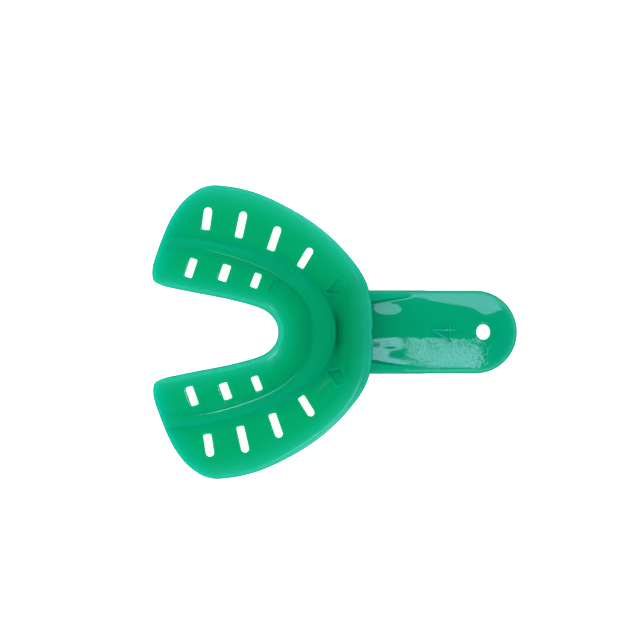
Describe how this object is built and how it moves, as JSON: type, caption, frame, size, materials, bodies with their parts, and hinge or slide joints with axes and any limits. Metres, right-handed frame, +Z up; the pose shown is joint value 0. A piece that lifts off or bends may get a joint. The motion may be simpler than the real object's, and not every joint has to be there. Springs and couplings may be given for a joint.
{
  "type": "impression tray",
  "caption": "Lower-jaw dental impression tray: U-shaped perforated trough with flared borders and a flat dished handle with a hanging hole.",
  "frame": {"origin": "on the rest plane under the middle of the tray's bounding box", "axes": "+X out along the handle, +Y across the arch, +Z up out of the open trough"},
  "size_m": [0.0896, 0.0722, 0.0126],
  "materials": {
    "green_plastic": "glossy, slightly translucent injection-moulded plastic, assumed to be polystyrene"
  },
  "bodies": {
    "root": {"trough_floor": "green_plastic", "outer_flange": "green_plastic", "inner_flange": "green_plastic", "outer_rim": "green_plastic", "inner_rim": "green_plastic", "handle": "green_plastic", "handle_gussets": "green_plastic", "size_mark": "green_plastic"}
  },
  "joints": []
}
